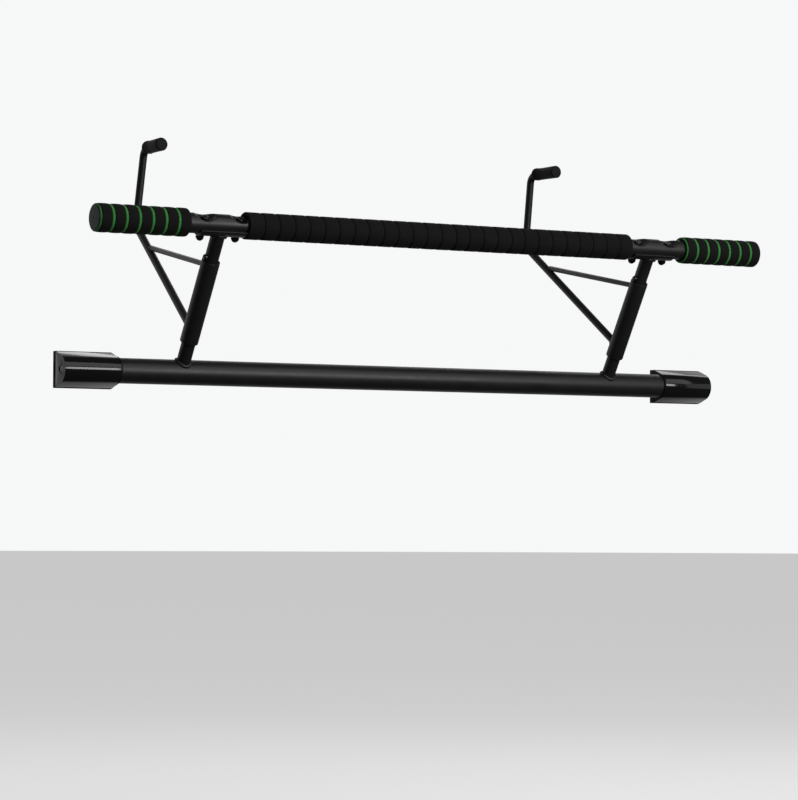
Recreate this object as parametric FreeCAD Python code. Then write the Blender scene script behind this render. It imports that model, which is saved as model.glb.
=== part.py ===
import FreeCAD, Part
import math
import os

# Pull-up bar that hangs in a doorway without screws.
# The lower bar presses its two padded caps on the front of the door jambs. Two posts
# lean forward from it and carry the grip bar. A hook frame turns and slides on each
# post, goes back through the doorway and rests its foot on top of the rear door trim.
#
# Millimetres. X runs along the bars, Y goes back through the doorway, Z is up.
# The origin is on the jamb plane, midway between the pads, at the lower bar's height.

V = FreeCAD.Vector
X_AXIS = V(1, 0, 0)
SIDES = {"left": -1, "right": 1}

# Lower bar and its end caps
LOWER_BAR_SPAN = 982.0        # over the two end caps
LOWER_BAR_OD = 32.0
LOWER_BAR_WALL = 1.5
CAP_LENGTH = 78.5             # with the pad's lip
CAP_END_WALL = 3.0
CAP_NOSE_WALL = 1.6           # plastic in front of the bar
CAP_SHOULDER = 6.9            # cap's rear edge, above and below the bar
CAP_VENT_D = 6.0              # round hole in the middle of the end wall
CAP_CORNER = 2.0
PAD_BEHIND_BAR = 3.0          # rubber between the bar and the jamb
PAD_EDGE = 8.0                # rubber that shows behind the cap
PAD_LIP = 2.0                 # rubber lip round the bar, at the cap's inner end

# Grip bar, leaning forward over the lower bar
GRIP_BAR_OD = 25.4
GRIP_BAR_WALL = 1.5
GRIP_FORWARD = 107.0          # lower bar's axis to grip bar's axis
GRIP_RISE = 178.5
MIDDLE_GRIP_FOAM = 4.4        # foam thickness round the bar
MIDDLE_GRIP_GAP_LEFT = 0.2     # pushed up against the left saddle
MIDDLE_GRIP_GAP_RIGHT = 8.0
MIDDLE_GRIP_EDGE = 2.0        # rounded foam edge
END_GRIP_FOAM = 5.1
END_GRIP_TO_SADDLE = 16.5
END_GRIP_SEGMENTS = 7
SEGMENT_PITCH = 17.75
RING_WIDTH = 3.5
RING_INSET = 0.5              # ring lower than the foam beside it
RING_DEPTH = 2.0              # ring's own thickness
END_RING_TRIM = 1.5           # first ring of a grip is this much narrower
PLUG_FLANGE_RIM = 2.8         # flange past the bar, over the end of the foam
PLUG_FLANGE = 0.8
PLUG_DOME = 0.5
PLUG_SPIGOT = 18.0

# Posts, saddles and the bolts through the grip bar
POST_SPACING = 648.0
POST_OD = 18.0
POST_WALL = 2.0
WELD_LEG = 4.0
SADDLE_LENGTH = 64.0
SADDLE_THICKNESS = 2.5
SADDLE_WRAP_DEG = 78.0        # half the angle that the saddle goes round the bar
BOLT_D = 6.0
BOLT_SPACING = 49.0
BOLT_HEAD_D = 10.5
BOLT_HEAD_HEIGHT = 3.3
BOLT_PAST_SADDLE = 5.2
DIMPLE_DEPTH = 6.2            # pressed flat seat under each bolt head
DIMPLE_FLOOR_D = 16.0
DIMPLE_MOUTH_D = 27.0
NUT_FLATS = 10.0
NUT_HEX_HEIGHT = 4.0
NUT_DOME_D = 9.4

# Hook frame that turns on the post
SLEEVE_LENGTH = 114.0
SLEEVE_WALL = 1.5
LINER_WALL = 1.1
LINER_SHORTER = 2.0           # liner stops this far inside each end of the sleeve
ROD_D = 10.0
ARM_ABOVE_SLEEVE_END = 16.2   # arm's axis above the sleeve's lower end
BEND_BEHIND_JAMB = 150.0      # lower bend of the arm
BEND_RISE = 200.0
TOE_IN = 19.0                 # how far the bend stands inside its post
UPRIGHT_LEAN_DEG = 10.0       # upright leans forward
TRIM_TOP = 290.5              # top of the rear door trim, above the lower bar's axis
FOOT_LENGTH = 55.0
LOWER_BEND_R = 20.0
UPPER_BEND_R = 14.0
BRACE_D = 7.0
BRACE_BELOW_SLEEVE_TOP = 6.8
BRACE_ALONG_ARM = 0.785       # where the two axes meet, as a share of the arm
BOOT_OD = 18.0
BOOT_SOLE = 8.0               # arm's axis above the trim
BOOT_END_WALL = 4.0

# Spring stop button in the post, just above the sleeve
STOP_RISE = 162.2             # along the post, from the lower bar's axis
BUTTON_D = 8.0
BUTTON_STANDS_OUT = 3.0
BUTTON_FLANGE_D = 10.0
BUTTON_FLANGE = 1.0
SPRING_THICKNESS = 0.6
SPRING_WIDTH = 6.0
SPRING_LENGTH = 36.0

# Clearances
SEAT_GAP = 0.05               # glued, pushed on or bolted together
LINER_ON_POST = 0.06          # sliding fit
SLEEVE_ON_LINER = 0.05        # turning fit
BUTTON_GAP = 0.08
BOLT_HOLE_GAP = 0.3
STOP_GAP = 0.4                # sleeve to button

# Places that follow from the sizes above
jamb_to_bar = LOWER_BAR_OD / 2 + PAD_BEHIND_BAR
post_length = math.hypot(GRIP_FORWARD, GRIP_RISE)
post_up = V(0, -GRIP_FORWARD, GRIP_RISE).normalize()
post_back = V(0, GRIP_RISE, GRIP_FORWARD).normalize()
lower_axis = V(0, -jamb_to_bar, 0)
grip_axis = lower_axis + post_up * post_length
grip_radius = GRIP_BAR_OD / 2
saddle_inner = grip_radius + SEAT_GAP
saddle_outer = saddle_inner + SADDLE_THICKNESS
dimple_floor = grip_radius - DIMPLE_DEPTH
lower_bar_half = LOWER_BAR_SPAN / 2 - CAP_END_WALL - SEAT_GAP
end_grip_length = END_GRIP_SEGMENTS * SEGMENT_PITCH - END_RING_TRIM
end_grip_radius = grip_radius + END_GRIP_FOAM
saddle_end = POST_SPACING / 2 + SADDLE_LENGTH / 2
grip_bar_half = saddle_end + END_GRIP_TO_SADDLE + end_grip_length
saddle_inner_end = POST_SPACING / 2 - SADDLE_LENGTH / 2
middle_grip_left = -saddle_inner_end + MIDDLE_GRIP_GAP_LEFT
middle_grip_right = saddle_inner_end - MIDDLE_GRIP_GAP_RIGHT
liner_inner = POST_OD / 2 + LINER_ON_POST
liner_outer = liner_inner + LINER_WALL
sleeve_inner = liner_outer + SLEEVE_ON_LINER
sleeve_outer = sleeve_inner + SLEEVE_WALL
sleeve_top = STOP_RISE - BUTTON_D / 2 - STOP_GAP
sleeve_bottom = sleeve_top - SLEEVE_LENGTH


def cylinder(start, direction, length, radius):
    return Part.makeCylinder(radius, length, start, direction)


def tube(start, direction, length, outer, inner):
    return cylinder(start, direction, length, outer).cut(cylinder(start, direction, length, inner))


def along_x(centre, first, last, radius):
    return cylinder(V(first, centre.y, centre.z), X_AXIS, last - first, radius)


def turned(centre, outline):
    """A solid turned round the X axis through centre, from (x, radius) corners."""
    points = [V(x, centre.y, centre.z + radius) for x, radius in outline]
    face = Part.Face(Part.makePolygon(points + [points[0]]))
    return face.revolve(centre, X_AXIS, 360)


def post_foot(side):
    return lower_axis + X_AXIS * (SIDES[side] * POST_SPACING / 2)


def group(solids):
    return Part.makeCompound(solids)


def save(name, shape):
    shape.exportStep("parts/" + name + ".step")
    print(f"{name:24s} solids {len(shape.Solids):2d}  volume {shape.Volume:10.1f}  valid {shape.isValid()}")


# Lower bar ------------------------------------------------------------------

def lower_bar():
    start = lower_axis - X_AXIS * lower_bar_half
    outer = LOWER_BAR_OD / 2
    return tube(start, X_AXIS, 2 * lower_bar_half, outer, outer - LOWER_BAR_WALL)


def cap_section(x):
    """Round nose in front of the bar, with two flat flanks that spread to the rear edge."""
    nose = LOWER_BAR_OD / 2 + CAP_NOSE_WALL
    rear = jamb_to_bar - PAD_EDGE
    half_height = LOWER_BAR_OD / 2 + CAP_SHOULDER
    reach = math.hypot(rear, half_height)
    touch = math.atan2(half_height, rear) + math.acos(nose / reach)
    top_touch = V(x, nose * math.cos(touch), nose * math.sin(touch))
    low_touch = V(x, nose * math.cos(touch), -nose * math.sin(touch))
    top_corner = V(x, rear, half_height)
    low_corner = V(x, rear, -half_height)
    edges = [Part.LineSegment(top_corner, top_touch).toShape(),
             Part.Arc(top_touch, V(x, -nose, 0), low_touch).toShape(),
             Part.LineSegment(low_touch, low_corner).toShape(),
             Part.LineSegment(low_corner, top_corner).toShape()]
    face = Part.Face(Part.Wire(edges))
    face.translate(lower_axis)
    return face


def cap_span(side):
    outer = SIDES[side] * LOWER_BAR_SPAN / 2
    inner = outer - SIDES[side] * CAP_LENGTH
    return min(outer, inner), max(outer, inner)


def end_cap(side):
    closed_at_first = side == "left"
    first, last = cap_span(side)
    if closed_at_first:
        last -= PAD_LIP + SEAT_GAP
    else:
        first += PAD_LIP + SEAT_GAP
    body = cap_section(first).extrude(X_AXIS * (last - first))
    rear_edges = [edge for edge in body.Edges
                  if abs(edge.BoundBox.YLength) < 1e-6 and abs(edge.BoundBox.ZLength) < 1e-6
                  and edge.BoundBox.YMax > lower_axis.y]
    body = body.makeFillet(CAP_CORNER, rear_edges)
    bore_first = first + CAP_END_WALL if closed_at_first else first - 1
    bore_last = last + 1 if closed_at_first else last - CAP_END_WALL
    bore = along_x(lower_axis, bore_first, bore_last, LOWER_BAR_OD / 2 + SEAT_GAP)
    vent = along_x(lower_axis, first - 1, last + 1, CAP_VENT_D / 2)
    return body.cut(bore).cut(vent)


def jamb_pad(side):
    """Rubber strip behind the cap, and a lip of the cap's outline at its inner end."""
    first, last = cap_span(side)
    height = LOWER_BAR_OD + 2 * CAP_SHOULDER
    lip_first = last - PAD_LIP if side == "left" else first
    strip_front = V(first, -PAD_EDGE + SEAT_GAP, -height / 2)
    strip = Part.makeBox(CAP_LENGTH, PAD_EDGE - SEAT_GAP, height, strip_front)
    lip_back = Part.makeBox(PAD_LIP, PAD_EDGE, height, V(lip_first, -PAD_EDGE, -height / 2))
    lip_front = cap_section(lip_first).extrude(X_AXIS * PAD_LIP)
    body = strip.multiFuse([lip_back, lip_front]).removeSplitter()
    return body.cut(along_x(lower_axis, first - 1, last + 1, LOWER_BAR_OD / 2 + SEAT_GAP))


# Posts and saddles ----------------------------------------------------------

def weld_cone(start, direction, radius, leg):
    """Fillet of weld round a tube's end: wide at start, running out along direction."""
    return Part.makeCone(radius + leg * 0.75, radius, leg, start, direction)


def post(side):
    foot = post_foot(side)
    outer = POST_OD / 2
    body = cylinder(foot, post_up, post_length, outer)
    low_weld = foot + post_up * (LOWER_BAR_OD / 2 - 1.5)
    top_weld = foot + post_up * (post_length - saddle_outer + 1.5)
    body = body.fuse(weld_cone(low_weld, post_up, outer, WELD_LEG + 1.5))
    body = body.fuse(weld_cone(top_weld, -post_up, outer, WELD_LEG + 1.5))
    body = body.cut(cylinder(foot, post_up, post_length, outer - POST_WALL))
    body = body.cut(along_x(lower_axis, foot.x - POST_OD * 2, foot.x + POST_OD * 2, LOWER_BAR_OD / 2))
    body = body.cut(along_x(grip_axis, foot.x - POST_OD * 2, foot.x + POST_OD * 2, saddle_outer))
    hole = cylinder(foot + post_up * STOP_RISE, -X_AXIS, POST_OD, BUTTON_D / 2 + BUTTON_GAP)
    return body.cut(hole).removeSplitter()


def bolt_places(side):
    foot = post_foot(side)
    top = foot + post_up * post_length
    return [top + X_AXIS * (step * BOLT_SPACING / 2) for step in (-1, 1)]


def saddle(side):
    """Half shell under the grip bar, open towards the top of the post's direction."""
    centre = post_foot(side) + post_up * post_length
    first, last = centre.x - SADDLE_LENGTH / 2, centre.x + SADDLE_LENGTH / 2
    wrap = math.radians(SADDLE_WRAP_DEG)

    def rim(radius, angle):
        return centre + (post_up * -math.cos(angle) + post_back * math.sin(angle)) * radius

    edges = [Part.Arc(rim(saddle_outer, -wrap), rim(saddle_outer, 0), rim(saddle_outer, wrap)).toShape(),
             Part.LineSegment(rim(saddle_outer, wrap), rim(saddle_inner, wrap)).toShape(),
             Part.Arc(rim(saddle_inner, wrap), rim(saddle_inner, 0), rim(saddle_inner, -wrap)).toShape(),
             Part.LineSegment(rim(saddle_inner, -wrap), rim(saddle_outer, -wrap)).toShape()]
    face = Part.Face(Part.Wire(edges))
    face.translate(X_AXIS * (first - centre.x))
    shell = face.extrude(X_AXIS * (last - first))
    for place in bolt_places(side):
        shell = shell.cut(cylinder(place, -post_up, saddle_outer * 2, BOLT_D / 2 + BOLT_HOLE_GAP))
    return shell


# Grip bar -------------------------------------------------------------------

def dimple(place, extra):
    """Space above a pressed seat. extra grows it by the wall, for the inner surface."""
    floor = dimple_floor - extra
    rise = grip_radius + 1 - dimple_floor
    slope = (DIMPLE_MOUTH_D - DIMPLE_FLOOR_D) / 2 / DIMPLE_DEPTH
    low = DIMPLE_FLOOR_D / 2 + extra
    height = rise + extra
    return Part.makeCone(low, low + slope * height, height, place + post_up * floor, post_up)


def grip_bar():
    outer = along_x(grip_axis, -grip_bar_half, grip_bar_half, grip_radius)
    inner = along_x(grip_axis, -grip_bar_half, grip_bar_half, grip_radius - GRIP_BAR_WALL)
    holes = []
    for side in SIDES:
        for place in bolt_places(side):
            outer = outer.cut(dimple(place, 0))
            inner = inner.cut(dimple(place, GRIP_BAR_WALL))
            start = place - post_up * GRIP_BAR_OD
            holes.append(cylinder(start, post_up, 2 * GRIP_BAR_OD, BOLT_D / 2 + BOLT_HOLE_GAP))
    body = outer.cut(inner)
    for hole in holes:
        body = body.cut(hole)
    return body


def saddle_bolt(place):
    seat = place + post_up * dimple_floor
    head = cylinder(seat, post_up, BOLT_HEAD_HEIGHT, BOLT_HEAD_D / 2)
    rim = [edge for edge in head.Edges if (edge.CenterOfMass - seat).dot(post_up) > BOLT_HEAD_HEIGHT * 0.9]
    head = head.makeFillet(BOLT_HEAD_HEIGHT * 0.45, rim)
    socket = Part.makePolygon([seat + post_up * BOLT_HEAD_HEIGHT * 0.4
                               + (X_AXIS * math.cos(turn) + post_back * math.sin(turn)) * BOLT_D * 0.38
                               for turn in [math.radians(60 * step) for step in range(7)]])
    head = head.cut(Part.Face(socket).extrude(post_up * BOLT_HEAD_HEIGHT))
    shank_length = dimple_floor + saddle_outer + BOLT_PAST_SADDLE
    return head.fuse(cylinder(seat, -post_up, shank_length, BOLT_D / 2)).removeSplitter()


def dome_nut(place):
    seat = place - post_up * (saddle_outer + SEAT_GAP)
    corner = NUT_FLATS / math.sqrt(3)
    ring = [seat + (X_AXIS * math.cos(turn) + post_back * math.sin(turn)) * corner
            for turn in [math.radians(60 * step) for step in range(7)]]
    body = Part.Face(Part.makePolygon(ring)).extrude(-post_up * NUT_HEX_HEIGHT)
    ball = Part.makeSphere(NUT_DOME_D / 2, seat - post_up * (NUT_HEX_HEIGHT - 0.6))
    keep = cylinder(seat, -post_up, NUT_HEX_HEIGHT + NUT_DOME_D, NUT_DOME_D)
    body = body.fuse(ball.common(keep)).removeSplitter()
    return body.cut(cylinder(seat, -post_up, BOLT_PAST_SADDLE + 0.5, BOLT_D / 2 + SEAT_GAP))


def middle_grip():
    left, right = middle_grip_left, middle_grip_right
    outer = grip_radius + MIDDLE_GRIP_FOAM
    inner = grip_radius + SEAT_GAP
    edge = MIDDLE_GRIP_EDGE
    outline = [(left, inner), (left, outer - edge), (left + edge, outer),
               (right - edge, outer), (right, outer - edge), (right, inner)]
    return turned(grip_axis, outline)


def end_grip_start(side):
    """The end of each handle grip on the -X side. Both grips face the same way."""
    return -grip_bar_half if side == "left" else grip_bar_half - end_grip_length


def ring_span(start, step):
    """Where a green ring starts and ends. The first one is cut flush with the grip's end."""
    last = start - END_RING_TRIM + step * SEGMENT_PITCH + RING_WIDTH
    return max(last - RING_WIDTH, start), last


def end_grip(side):
    outer = end_grip_radius
    seat = outer - RING_INSET - RING_DEPTH
    start = end_grip_start(side)
    body = along_x(grip_axis, start, start + end_grip_length, outer)
    for step in range(END_GRIP_SEGMENTS):
        first, last = ring_span(start, step)
        channel = along_x(grip_axis, first, last, outer + 1)
        body = body.cut(channel.cut(along_x(grip_axis, first, last, seat)))
    return body.cut(along_x(grip_axis, start - 1, start + end_grip_length + 1, grip_radius + SEAT_GAP))


def grip_rings(side):
    outer = end_grip_radius - RING_INSET
    inner = outer - RING_DEPTH + SEAT_GAP
    start = end_grip_start(side)
    rings = []
    for step in range(END_GRIP_SEGMENTS):
        first, last = ring_span(start, step)
        rings.append(tube(V(first, grip_axis.y, grip_axis.z), X_AXIS, last - first - SEAT_GAP, outer, inner))
    return group(rings)


def grip_plug(side):
    outward = SIDES[side]
    end = outward * grip_bar_half
    spigot = grip_radius - GRIP_BAR_WALL - SEAT_GAP
    flange = grip_radius + PLUG_FLANGE_RIM
    outline = [(end - outward * PLUG_SPIGOT, 0), (end - outward * PLUG_SPIGOT, spigot), (end, spigot),
               (end, flange), (end + outward * PLUG_FLANGE, flange),
               (end + outward * (PLUG_FLANGE + PLUG_DOME * 0.6), flange * 0.8),
               (end + outward * (PLUG_FLANGE + PLUG_DOME), flange * 0.35),
               (end + outward * (PLUG_FLANGE + PLUG_DOME), 0)]
    return turned(grip_axis, outline)


# Hook frame -----------------------------------------------------------------

def frame_plane(side):
    """The post's foot, and the direction that points back in the plane of the hook frame."""
    foot = post_foot(side)
    bend = V(0, BEND_BEHIND_JAMB, BEND_RISE) - lower_axis
    toe = math.asin(TOE_IN / bend.dot(post_back))
    back = post_back * math.cos(toe) - X_AXIS * (SIDES[side] * math.sin(toe))
    return foot, back


def arm_corners(side):
    """Corners of the arm's axis: at the sleeve, lower bend, upper bend, end of the foot."""
    foot, back = frame_plane(side)
    bend_offset = V(0, BEND_BEHIND_JAMB, BEND_RISE) - lower_axis
    rise = bend_offset.dot(post_up)
    root = foot + post_up * (sleeve_bottom + ARM_ABOVE_SLEEVE_END)
    bend = foot + post_up * rise + back * bend_offset.dot(post_back)
    level = (back * post_up.z - post_up * back.z).normalize()
    normal = level.cross(back).normalize()
    upward = level.cross(normal).normalize()
    if upward.z < 0:
        upward = -upward
    lean = math.radians(UPRIGHT_LEAN_DEG)
    upright = (upward * math.cos(lean) - level * math.sin(lean)).normalize()
    top_height = TRIM_TOP + BOOT_SOLE
    top = bend + upright * ((top_height - bend.z) / upright.z)
    return [root, bend, top, top - level * FOOT_LENGTH]


def bent_rod(corners, bend_radii, radius):
    """Round rod along straight runs with a round bend at each inner corner."""
    pieces = []
    start = corners[0]
    for index, bend_radius in enumerate(bend_radii, 1):
        before = (corners[index] - corners[index - 1]).normalize()
        after = (corners[index + 1] - corners[index]).normalize()
        turn = before.getAngle(after)
        setback = bend_radius * math.tan(turn / 2)
        axis = before.cross(after).normalize()
        arc_start = corners[index] - before * setback
        centre = arc_start + axis.cross(before).normalize() * bend_radius
        pieces.append(cylinder(start, before, (arc_start - start).Length, radius))
        disc = Part.Face(Part.Wire(Part.makeCircle(radius, arc_start, before)))
        pieces.append(disc.revolve(centre, axis, math.degrees(turn)))
        start = corners[index] + after * setback
    last = corners[-1] - start
    pieces.append(cylinder(start, last.normalize(), last.Length, radius))
    return pieces[0].multiFuse(pieces[1:]).removeSplitter()


def sleeve_cut(side):
    foot = post_foot(side)
    return cylinder(foot + post_up * (sleeve_bottom - 50), post_up, SLEEVE_LENGTH + 100, sleeve_outer)


def sleeve(side):
    start = post_foot(side) + post_up * sleeve_bottom
    return tube(start, post_up, SLEEVE_LENGTH, sleeve_outer, sleeve_inner)


def sleeve_liner(side):
    start = post_foot(side) + post_up * (sleeve_bottom + LINER_SHORTER)
    return tube(start, post_up, SLEEVE_LENGTH - 2 * LINER_SHORTER, liner_outer, liner_inner)


def hook_arm(side):
    corners = arm_corners(side)
    rod = bent_rod(corners, [LOWER_BEND_R, UPPER_BEND_R], ROD_D / 2)
    towards = (corners[1] - corners[0]).normalize()
    weld = weld_cone(corners[0] + towards * (sleeve_outer - 1), towards, ROD_D / 2, WELD_LEG)
    return rod.fuse(weld).cut(sleeve_cut(side)).removeSplitter()


def brace(side):
    """Rod from the sleeve's top to the arm. Its square end lies half sunk in the arm's upper side."""
    foot = post_foot(side)
    corners = arm_corners(side)
    arm_run = corners[1] - corners[0]
    root = foot + post_up * (sleeve_top - BRACE_BELOW_SLEEVE_TOP)
    meeting = corners[0] + arm_run * BRACE_ALONG_ARM
    towards = (meeting - root).normalize()
    setback = ROD_D / 2 / math.sin(towards.getAngle(arm_run))
    rod = cylinder(root, towards, (meeting - root).Length - setback, BRACE_D / 2)
    arm = cylinder(corners[0], arm_run, arm_run.Length, ROD_D / 2)
    return rod.cut(sleeve_cut(side)).cut(arm).removeSplitter()


def hook_boot(side):
    """Rubber boot pushed over the foot, flat underneath where it rests on the trim."""
    corners = arm_corners(side)
    forward = (corners[3] - corners[2]).normalize()
    turn = (corners[2] - corners[1]).normalize().getAngle(forward)
    start = corners[2] + forward * (UPPER_BEND_R * math.tan(turn / 2))
    length = (corners[3] - start).Length
    body = cylinder(start, forward, length + BOOT_END_WALL, BOOT_OD / 2)
    rim = [edge for edge in body.Edges if (edge.CenterOfMass - start).dot(forward) > length]
    body = body.makeFillet(BOOT_END_WALL * 0.6, rim)
    body = body.cut(cylinder(start - forward, forward, length + 1 + SEAT_GAP, ROD_D / 2 + SEAT_GAP))
    reach = BOOT_OD * 4
    corner = V(start.x - reach / 2, start.y - reach / 2, TRIM_TOP - BOOT_OD)
    below = Part.makeBox(reach, reach, BOOT_OD, corner)
    return body.cut(below)


# Stop button ----------------------------------------------------------------

def stop_button(side):
    """Round button that stands out of the post's -X side and slides in against its spring."""
    centre = post_foot(side) + post_up * STOP_RISE
    tip = POST_OD / 2 + BUTTON_STANDS_OUT
    back = flange_face()
    pin = cylinder(centre - X_AXIS * back, -X_AXIS, tip - back, BUTTON_D / 2)
    rim = [edge for edge in pin.Edges if edge.CenterOfMass.x < centre.x - tip + 0.1]
    pin = pin.makeFillet(BUTTON_D * 0.3, rim)
    flange = cylinder(centre - X_AXIS * back, -X_AXIS, BUTTON_FLANGE, BUTTON_FLANGE_D / 2)
    return pin.fuse(flange).removeSplitter()


def flange_face():
    """Distance from the post's axis to the inner face of the button's flange."""
    bore = POST_OD / 2 - POST_WALL
    return math.sqrt(bore ** 2 - (BUTTON_FLANGE_D / 2) ** 2) - BUTTON_FLANGE - 0.3


def button_spring(side):
    """Folded strip inside the post: one leg behind the button, one on the far wall."""
    centre = post_foot(side) + post_up * STOP_RISE
    bore = POST_OD / 2 - POST_WALL
    near = -flange_face() + SPRING_THICKNESS / 2
    far = math.sqrt(bore ** 2 - (SPRING_WIDTH / 2) ** 2) - SPRING_THICKNESS / 2 - SEAT_GAP
    head = BUTTON_D / 2
    route = [(near, head), (near, -head), (far - 5, 3 - SPRING_LENGTH), (far - 2.5, -SPRING_LENGTH),
             (far, 3 - SPRING_LENGTH), (far, 0)]
    pieces = []
    for first, second in zip(route, route[1:]):
        start = centre + X_AXIS * first[0] + post_up * first[1]
        end = centre + X_AXIS * second[0] + post_up * second[1]
        along = (end - start).normalize()
        across = along.cross(post_back).normalize() * (SPRING_THICKNESS / 2)
        side_step = post_back * (SPRING_WIDTH / 2)
        outline = [start + across, end + across, end - across, start - across, start + across]
        strip = Part.Face(Part.makePolygon(outline)).extrude(side_step * 2)
        strip.translate(-side_step)
        pieces.append(strip)
        pieces.append(cylinder(end - side_step, post_back, SPRING_WIDTH, SPRING_THICKNESS / 2))
    return pieces[0].multiFuse(pieces[1:]).removeSplitter()


def main():
    os.makedirs("parts", exist_ok=True)
    save("lower_bar", lower_bar())
    save("grip_bar", grip_bar())
    save("middle_grip", middle_grip())
    both = {"end_cap": end_cap, "jamb_pad": jamb_pad, "post": post, "saddle": saddle,
            "end_grip": end_grip, "grip_rings": grip_rings, "grip_plug": grip_plug,
            "sleeve": sleeve, "sleeve_liner": sleeve_liner, "hook_arm": hook_arm, "brace": brace,
            "hook_boot": hook_boot, "stop_button": stop_button, "button_spring": button_spring}
    for name, make in both.items():
        for side in SIDES:
            save(name + "_" + side, make(side))
    places = [place for side in SIDES for place in bolt_places(side)]
    save("saddle_bolts", group([saddle_bolt(place) for place in places]))
    save("dome_nuts", group([dome_nut(place) for place in places]))


main()
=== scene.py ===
# %% [markdown]
# # A pull-up bar that hangs in a doorway
#
# The bar is steel tube, coated black, with foam where hands go and plastic and rubber where
# it touches the house. The steel skeleton is already drawn as a CAD model, and this lesson
# dresses it: each piece is rebuilt as a clean mesh in the same place, then given a finish.
#
# Everything is in metres. X runs along the bars, Y goes back through the doorway, Z is up.

# %% Load the frame
import math

import bmesh
import bpy
from mathutils import Matrix, Vector, noise


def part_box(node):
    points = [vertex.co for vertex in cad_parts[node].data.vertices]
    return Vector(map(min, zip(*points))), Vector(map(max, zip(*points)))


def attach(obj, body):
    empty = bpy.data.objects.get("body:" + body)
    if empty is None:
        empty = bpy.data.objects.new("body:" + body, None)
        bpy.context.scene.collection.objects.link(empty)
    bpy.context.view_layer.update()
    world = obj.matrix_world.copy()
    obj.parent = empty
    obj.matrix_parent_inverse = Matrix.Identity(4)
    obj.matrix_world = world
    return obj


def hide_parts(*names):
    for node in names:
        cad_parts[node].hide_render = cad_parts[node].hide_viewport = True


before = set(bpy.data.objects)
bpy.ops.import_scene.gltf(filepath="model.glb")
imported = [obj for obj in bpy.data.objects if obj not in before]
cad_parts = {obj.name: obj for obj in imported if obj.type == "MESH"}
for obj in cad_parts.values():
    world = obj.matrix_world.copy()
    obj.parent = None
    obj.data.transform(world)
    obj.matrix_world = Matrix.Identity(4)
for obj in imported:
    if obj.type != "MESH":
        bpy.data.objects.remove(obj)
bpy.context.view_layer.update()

# %% [markdown]
# ## Where things are
#
# Most of this object is round bars on three directions: along X, up the slanted posts, and
# back from them. If those are read off the frame once, no piece needs a place of its own.
# The CAD meshes are many-sided, so a centre can be a hair off, and is rounded to 0.1 mm.

# %% Directions and axes
MM = 0.001
ALONG = Vector((1, 0, 0))
SIDES = {"left": -1, "right": 1}


def tenth(vector):
    return Vector([round(value, 4) for value in vector])


def middle(node):
    low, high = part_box(node)
    return tenth((low + high) / 2)


lower_axis = middle("lower_bar")
grip_axis = middle("grip_bar")
post_length = (grip_axis - lower_axis).length
post_up = (grip_axis - lower_axis).normalized()
post_back = post_up.cross(ALONG)
post_x = middle("post_right").x
print("post length", round(post_length, 4), "leans", round(math.degrees(post_up.angle(Vector((0, 0, 1)))), 2))


def stretch(node, direction):
    """Where a node starts and ends along a direction, measured from the lower bar's axis."""
    places = [(v.co - lower_axis).dot(direction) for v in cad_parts[node].data.vertices]
    return min(places), max(places)


def post_foot(side):
    return lower_axis + ALONG * (SIDES[side] * post_x)


sleeve_low, sleeve_high = stretch("sleeve_left", post_up)
print("sleeve from", round(sleeve_low, 4), "to", round(sleeve_high, 4), "up the post")

# %% [markdown]
# ## Turning, pushing and closing
#
# A lathe makes most of these pieces, and Spin is the lathe of bmesh: a few points joined by
# edges, turned all the way round. A full spin with use_merge closes on itself. Points that sit
# on the axis end up stacked, so doubles are merged afterwards, and the normals are then
# recalculated, because a spin can come out inside out.

# %% Lathe
ROUND = 64


def lathe(bm, centre, direction, outline, steps=ROUND):
    """Turns a closed outline of (distance, radius) points round a line through centre."""
    sideways = direction.orthogonal().normalized()
    verts = [bm.verts.new(centre + direction * along + sideways * radius) for along, radius in outline]
    edges = [bm.edges.new(pair) for pair in zip(verts, verts[1:] + verts[:1])]
    bmesh.ops.spin(bm, geom=verts + edges, cent=centre, axis=direction, angle=2 * math.pi,
                   steps=steps, use_merge=True, use_duplicate=False)


def rounded(corners, radius, steps=4):
    """A closed outline with each corner rounded by an arc of short straight parts."""
    points = []
    for before, corner, after in zip(corners[-1:] + corners[:-1], corners, corners[1:] + corners[:1]):
        corner, back, on = Vector(corner), Vector(before) - Vector(corner), Vector(after) - Vector(corner)
        cut = min(radius, back.length * 0.45, on.length * 0.45)
        if corner.y < 1e-6:
            points.append(tuple(corner))
            continue
        start, end = corner + back.normalized() * cut, corner + on.normalized() * cut
        for step in range(steps + 1):
            share = step / steps
            first, second = start.lerp(corner, share), corner.lerp(end, share)
            points.append(tuple(first.lerp(second, share)))
    return points


# %% Loops of a rod
def ring(bm, centre, direction, radius, count):
    """The edges of a circle that faces along a direction."""
    turn = direction.to_track_quat("Z", "Y").to_matrix().to_4x4()
    made = bmesh.ops.create_circle(bm, cap_ends=False, radius=radius, segments=count,
                                   matrix=Matrix.Translation(centre) @ turn)
    return loop_edges(made["verts"])


def loop_edges(verts):
    inside = set(verts)
    return [edge for edge in {edge for vert in verts for edge in vert.link_edges}
            if inside.issuperset(edge.verts)]


def push(bm, edges, step):
    """Extrudes a loop of edges by a step, and gives the new loop."""
    grown = bmesh.ops.extrude_edge_only(bm, edges=edges)["geom"]
    verts = [part for part in grown if isinstance(part, bmesh.types.BMVert)]
    bmesh.ops.translate(bm, verts=verts, vec=step)
    return loop_edges(verts)


def close_ends(bm):
    bmesh.ops.holes_fill(bm, edges=[edge for edge in bm.edges if edge.is_boundary], sides=0)


def soften(bm, edges, width, segments=3):
    """Bevels edges that a mould or a file would have left round."""
    bmesh.ops.bevel(bm, geom=edges, offset=width, offset_type="OFFSET", affect="EDGES",
                    segments=segments, profile=0.5, material=-1, clamp_overlap=True)


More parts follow.
